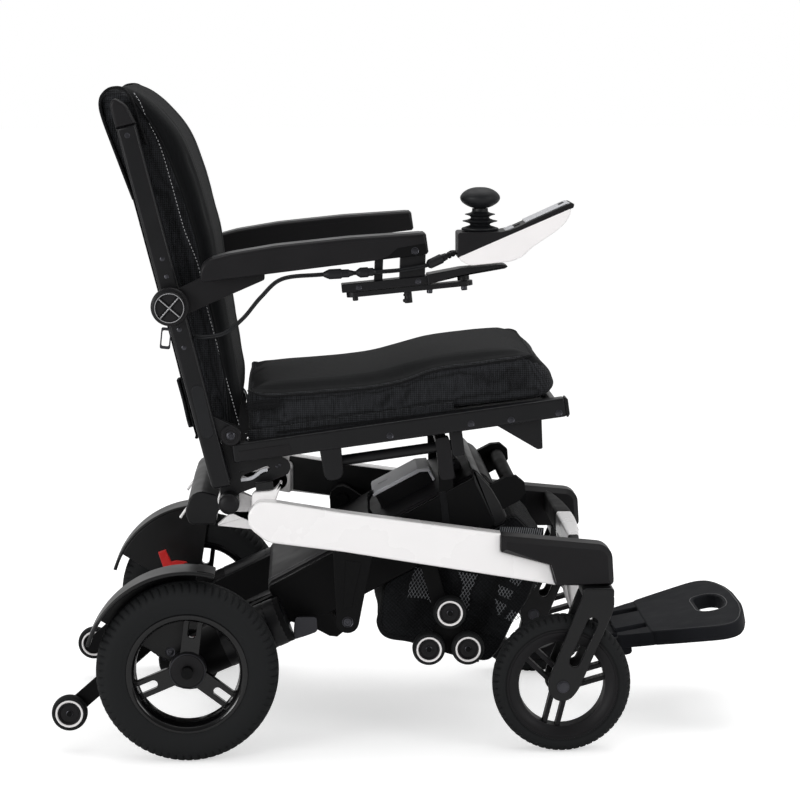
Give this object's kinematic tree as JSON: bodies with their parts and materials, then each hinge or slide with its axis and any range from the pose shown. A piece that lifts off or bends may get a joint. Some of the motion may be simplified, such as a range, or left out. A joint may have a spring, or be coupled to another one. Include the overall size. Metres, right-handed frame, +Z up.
{
  "type": "folding power wheelchair",
  "caption": "Folding power wheelchair with a white scissor frame, padded seat and back, flip-up armrests, joystick controller, drive wheels and casters.",
  "frame": {"origin": "on the ground, under the middle of the chair's bounding box at rest", "axes": "+X forward, towards the footplate; +Y to the user's left; +Z up"},
  "size_m": [1.0356, 0.595, 0.9546],
  "materials": {
    "white_paint": "gloss white powder coat",
    "black_paint": "satin black powder coat",
    "black_plastic": "fine-grained black moulded plastic",
    "tyre_rubber": "matte black rubber",
    "black_rubber": "matte black rubber",
    "gloss_black": "gloss black rim",
    "white_plastic": "gloss white plastic",
    "grey_plastic": "light grey plastic",
    "red_plastic": "red plastic",
    "black_fabric": "black woven seat cloth over foam",
    "mesh_fabric": "black mesh fabric",
    "dark_steel": "dark zinc-plated steel"
  },
  "bodies": {
    "chassis": {"chassis_frame": "black_paint", "drive_motor_left": "black_paint", "drive_motor_right": "black_paint", "mudguard_left": "black_plastic", "mudguard_right": "black_plastic", "battery_bay": "black_plastic", "battery_pack": "black_plastic", "battery_lid": "grey_plastic", "storage_basket": "mesh_fabric"},
    "front_frame": {"side_rail_left": "white_paint", "side_rail_right": "white_paint", "rail_cap_left": "black_plastic", "rail_cap_right": "black_plastic", "rail_bracket_left": "black_paint", "rail_bracket_right": "black_paint", "front_cross_member": "white_paint", "rear_cross_beam": "black_paint"},
    "seat": {"seat_frame": "black_paint", "seat_board": "black_fabric", "hinge_plate_left": "black_paint", "hinge_plate_right": "black_paint", "seat_cushion": "black_fabric"},
    "carriage": {"slide_carriage": "black_plastic"},
    "back": {"back_frame": "black_paint", "back_pad": "black_fabric"},
    "armrest_l": {"armrest_left": "black_plastic"},
    "armrest_r": {"armrest_right": "black_plastic", "controller_mount": "black_paint", "control_cable": "black_rubber"},
    "swing_link": {"swing_arm": "black_paint"},
    "controller": {"swing_plate": "black_paint", "controller_shell": "white_plastic", "controller_body": "black_plastic", "joystick_bellows": "black_rubber"},
    "gimbal": {"joystick_gimbal": "dark_steel"},
    "stick": {"joystick": "black_plastic"},
    "button": {"power_button": "black_plastic"},
    "foot": {"footplate": "black_plastic"},
    "knob_l": {"armrest_knob_left": "black_plastic"},
    "knob_r": {"armrest_knob_right": "black_plastic"},
    "drive_wheel_l": {"drive_tyre_left": "tyre_rubber", "drive_rim_left": "gloss_black"},
    "fork_l": {"caster_fork_left": "black_paint"},
    "caster_l": {"caster_tyre_left": "tyre_rubber", "caster_rim_left": "gloss_black"},
    "anti_tip_l": {"anti_tip_wheel_left": "black_rubber"},
    "lever_l": {"brake_lever_left": "red_plastic"},
    "roller_top_l": {"roller_top_left": "black_plastic"},
    "roller_rear_l": {"roller_rear_left": "black_plastic"},
    "roller_front_l": {"roller_front_left": "black_plastic"},
    "drive_wheel_r": {"drive_tyre_right": "tyre_rubber", "drive_rim_right": "gloss_black"},
    "fork_r": {"caster_fork_right": "black_paint"},
    "caster_r": {"caster_tyre_right": "tyre_rubber", "caster_rim_right": "gloss_black"},
    "anti_tip_r": {"anti_tip_wheel_right": "black_rubber"},
    "lever_r": {"brake_lever_right": "red_plastic"},
    "roller_top_r": {"roller_top_right": "black_plastic"},
    "roller_rear_r": {"roller_rear_right": "black_plastic"},
    "roller_front_r": {"roller_front_right": "black_plastic"}
  },
  "joints": [
    {"name": "frame_fold", "type": "hinge", "parent": "chassis", "child": "front_frame", "pos_m": [-0.09176, 0, 0.30265], "axis": [0, 1, 0], "range_deg": [0, 60]},
    {"name": "seat_fold", "type": "hinge", "parent": "front_frame", "child": "seat", "pos_m": [-0.25965, 0, 0.3604], "axis": [0, 1, 0], "range_deg": [-30, 0]},
    {"name": "carriage_fold", "type": "hinge", "parent": "chassis", "child": "carriage", "pos_m": [0.05442, 0, 0.40342], "axis": [0, 1, 0], "range_deg": [0, 30]},
    {"name": "back_fold", "type": "hinge", "parent": "seat", "child": "back", "pos_m": [-0.2563, 0, 0.45977], "axis": [0, 1, 0], "range_deg": [0, 24], "deforming": ["back_pad"]},
    {"name": "armrest_fold_left", "type": "hinge", "parent": "back", "child": "armrest_l", "pos_m": [-0.33958, 0.2195, 0.64754], "axis": [0, -1, 0], "range_deg": [0, 90]},
    {"name": "knob_turn_left", "type": "hinge", "parent": "back", "child": "knob_l", "pos_m": [-0.33958, 0.2325, 0.64754], "axis": [0, 1, 0], "range_deg": [0, 90]},
    {"name": "armrest_fold_right", "type": "hinge", "parent": "back", "child": "armrest_r", "pos_m": [-0.33958, -0.2195, 0.64754], "axis": [0, -1, 0], "range_deg": [0, 90], "deforming": ["control_cable"]},
    {"name": "knob_turn_right", "type": "hinge", "parent": "back", "child": "knob_r", "pos_m": [-0.33958, -0.2325, 0.64754], "axis": [0, 1, 0], "range_deg": [0, 90]},
    {"name": "controller_swing", "type": "hinge", "parent": "armrest_r", "child": "swing_link", "pos_m": [-0.07855, -0.2425, 0.665], "axis": [0.0976, 0, -0.9952], "range_deg": [0, 90], "deforming": ["control_cable"]},
    {"name": "controller_level", "type": "hinge", "parent": "swing_link", "child": "controller", "pos_m": [0.07571, -0.2425, 0.68012], "axis": [0.0976, 0, -0.9952], "range_deg": [-90, 0]},
    {"name": "joystick_roll", "type": "hinge", "parent": "controller", "child": "gimbal", "pos_m": [0.09785, -0.2425, 0.7579], "axis": [1, 0, 0], "range_deg": [-15, 15], "stiffness_Nm_per_rad": 0.15, "deforming": ["joystick_bellows"]},
    {"name": "joystick_pitch", "type": "hinge", "parent": "gimbal", "child": "stick", "pos_m": [0.09785, -0.2425, 0.7579], "axis": [0, 1, 0], "range_deg": [-15, 15], "stiffness_Nm_per_rad": 0.15, "deforming": ["joystick_bellows"]},
    {"name": "power_press", "type": "slide", "parent": "controller", "child": "button", "axis": [0.4075, 0, -0.9132], "range_m": [0, 0.0012], "stiffness_N_per_m": 800},
    {"name": "drive_turn_left", "type": "hinge", "parent": "chassis", "child": "drive_wheel_l", "pos_m": [-0.31915, 0.27, 0.13], "axis": [0, 1, 0], "continuous": true},
    {"name": "caster_swivel_left", "type": "hinge", "parent": "front_frame", "child": "fork_l", "pos_m": [0.27085, 0.23775, 0.2435], "axis": [0, 0, 1], "continuous": true},
    {"name": "caster_turn_left", "type": "hinge", "parent": "fork_l", "child": "caster_l", "pos_m": [0.21885, 0.23775, 0.1], "axis": [0, 1, 0], "continuous": true},
    {"name": "anti_tip_turn_left", "type": "hinge", "parent": "chassis", "child": "anti_tip_l", "pos_m": [-0.49215, 0.2203, 0.0567], "axis": [0, 1, 0], "continuous": true},
    {"name": "brake_release_left", "type": "hinge", "parent": "chassis", "child": "lever_l", "pos_m": [-0.33915, 0.1828, 0.1845], "axis": [0, 1, 0], "range_deg": [0, 35]},
    {"name": "roller_turn_top_left", "type": "hinge", "parent": "chassis", "child": "roller_top_l", "pos_m": [0.06005, 0.184, 0.1925], "axis": [0, 1, 0], "continuous": true},
    {"name": "roller_turn_rear_left", "type": "hinge", "parent": "chassis", "child": "roller_rear_l", "pos_m": [0.02945, 0.184, 0.13871], "axis": [0, 1, 0], "continuous": true},
    {"name": "roller_turn_front_left", "type": "hinge", "parent": "chassis", "child": "roller_front_l", "pos_m": [0.08665, 0.184, 0.13871], "axis": [0, 1, 0], "continuous": true},
    {"name": "drive_turn_right", "type": "hinge", "parent": "chassis", "child": "drive_wheel_r", "pos_m": [-0.31915, -0.27, 0.13], "axis": [0, 1, 0], "continuous": true},
    {"name": "caster_swivel_right", "type": "hinge", "parent": "front_frame", "child": "fork_r", "pos_m": [0.27085, -0.23775, 0.2435], "axis": [0, 0, 1], "continuous": true},
    {"name": "caster_turn_right", "type": "hinge", "parent": "fork_r", "child": "caster_r", "pos_m": [0.21885, -0.23775, 0.1], "axis": [0, 1, 0], "continuous": true},
    {"name": "anti_tip_turn_right", "type": "hinge", "parent": "chassis", "child": "anti_tip_r", "pos_m": [-0.49215, -0.2203, 0.0567], "axis": [0, 1, 0], "continuous": true},
    {"name": "brake_release_right", "type": "hinge", "parent": "chassis", "child": "lever_r", "pos_m": [-0.33915, -0.1828, 0.1845], "axis": [0, 1, 0], "range_deg": [0, 35]},
    {"name": "roller_turn_top_right", "type": "hinge", "parent": "chassis", "child": "roller_top_r", "pos_m": [0.06005, -0.184, 0.1925], "axis": [0, 1, 0], "continuous": true},
    {"name": "roller_turn_rear_right", "type": "hinge", "parent": "chassis", "child": "roller_rear_r", "pos_m": [0.02945, -0.184, 0.13871], "axis": [0, 1, 0], "continuous": true},
    {"name": "roller_turn_front_right", "type": "hinge", "parent": "chassis", "child": "roller_front_r", "pos_m": [0.08665, -0.184, 0.13871], "axis": [0, 1, 0], "continuous": true},
    {"name": "footplate_fold", "type": "hinge", "parent": "front_frame", "child": "foot", "pos_m": [0.31285, 0, 0.104], "axis": [0, -1, 0], "range_deg": [0, 85]}
  ],
  "couplings": [
    {"joint": "seat_fold", "follows": "frame_fold", "ratio": -0.5},
    {"joint": "carriage_fold", "follows": "frame_fold", "ratio": 0.5},
    {"joint": "controller_level", "follows": "controller_swing", "ratio": -1}
  ]
}
